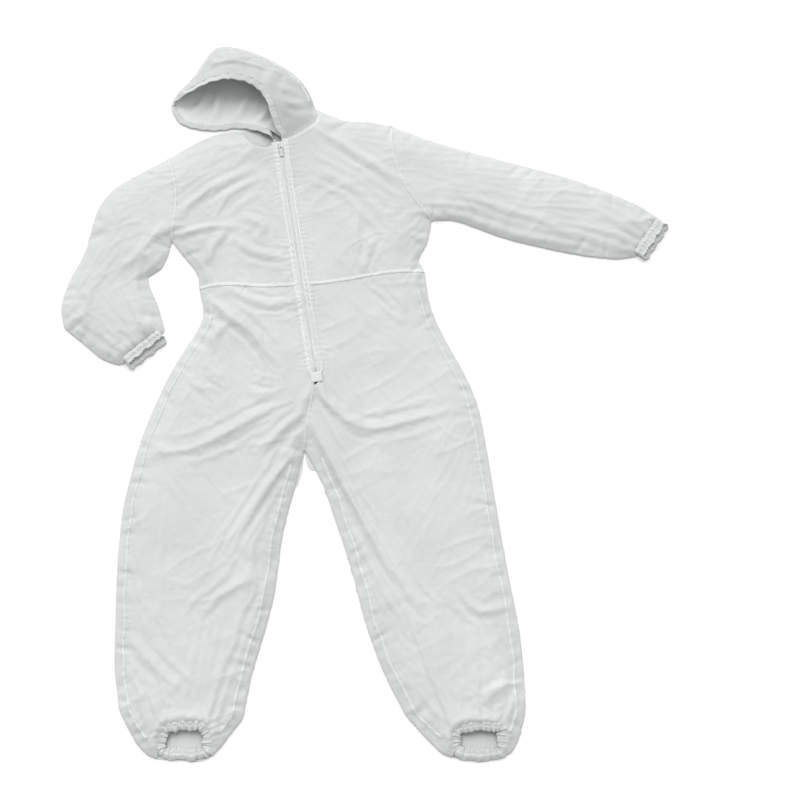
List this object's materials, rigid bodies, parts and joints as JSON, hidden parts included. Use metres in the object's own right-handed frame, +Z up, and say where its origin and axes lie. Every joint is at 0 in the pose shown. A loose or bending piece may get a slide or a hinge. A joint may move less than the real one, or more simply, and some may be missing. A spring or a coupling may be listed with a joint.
{
  "type": "beekeeping suit",
  "caption": "Hooded one-piece protective coverall laid flat: front zip with slider and pull, waist seam, elasticated wrists, ankles and face opening.",
  "frame": {"origin": "on the floor under the middle of the garment's bounding box", "axes": "+Y towards the hood along the body, +Z up out of the garment's front, +X towards the wearer's left sleeve"},
  "size_m": [1.413, 1.7289, 0.0653],
  "materials": {
    "cloth": "thin smooth white woven polyester",
    "zip_tape": "woven white tape",
    "elastic": "braided white elastic",
    "zip_coil": "white nylon coil",
    "zip_metal": "white enamel over die-cast zinc"
  },
  "bodies": {
    "garment": {"front_bodice_right": "cloth", "front_bodice_left": "cloth", "back_bodice": "cloth", "front_leg_right": "cloth", "front_leg_left": "cloth", "back_leg_right": "cloth", "back_leg_left": "cloth", "sleeve_right": "cloth", "sleeve_left": "cloth", "waist_elastic": "elastic", "waist_casing": "cloth", "fly_patch": "cloth", "wrist_hem_right": "cloth", "wrist_hem_left": "cloth", "wrist_elastic_right": "elastic", "wrist_elastic_left": "elastic", "ankle_hem_right": "cloth", "ankle_hem_left": "cloth", "ankle_elastic_right": "elastic", "ankle_elastic_left": "elastic", "zip_tape_right": "zip_tape", "zip_tape_left": "zip_tape", "zip_coil_right": "zip_coil", "zip_coil_left": "zip_coil", "zip_top_stop_right": "zip_metal", "zip_top_stop_left": "zip_metal", "zip_bottom_stop": "zip_metal"},
    "hood": {"hood_panel_right": "cloth", "hood_panel_left": "cloth", "hood_face_hem_right": "cloth", "hood_face_hem_left": "cloth", "hood_elastic_right": "elastic", "hood_elastic_left": "elastic"},
    "slider": {"zip_slider": "zip_metal"},
    "pull": {"zip_pull_tab": "zip_metal"}
  },
  "joints": [
    {"name": "hood_fold", "type": "hinge", "parent": "garment", "child": "hood", "pos_m": [-0.212, 0.588, 0.0254], "axis": [0.9426, 0.3339, 0], "range_deg": [0, 150]},
    {"name": "zip_travel", "type": "slide", "parent": "garment", "child": "slider", "axis": [0.1623, -0.9867, 0], "range_m": [0, 0.57]},
    {"name": "pull_swing", "type": "hinge", "parent": "slider", "child": "pull", "pos_m": [-0.20932, 0.57172, 0.0277], "axis": [-0.9867, -0.1623, 0], "range_deg": [0, 180]}
  ]
}
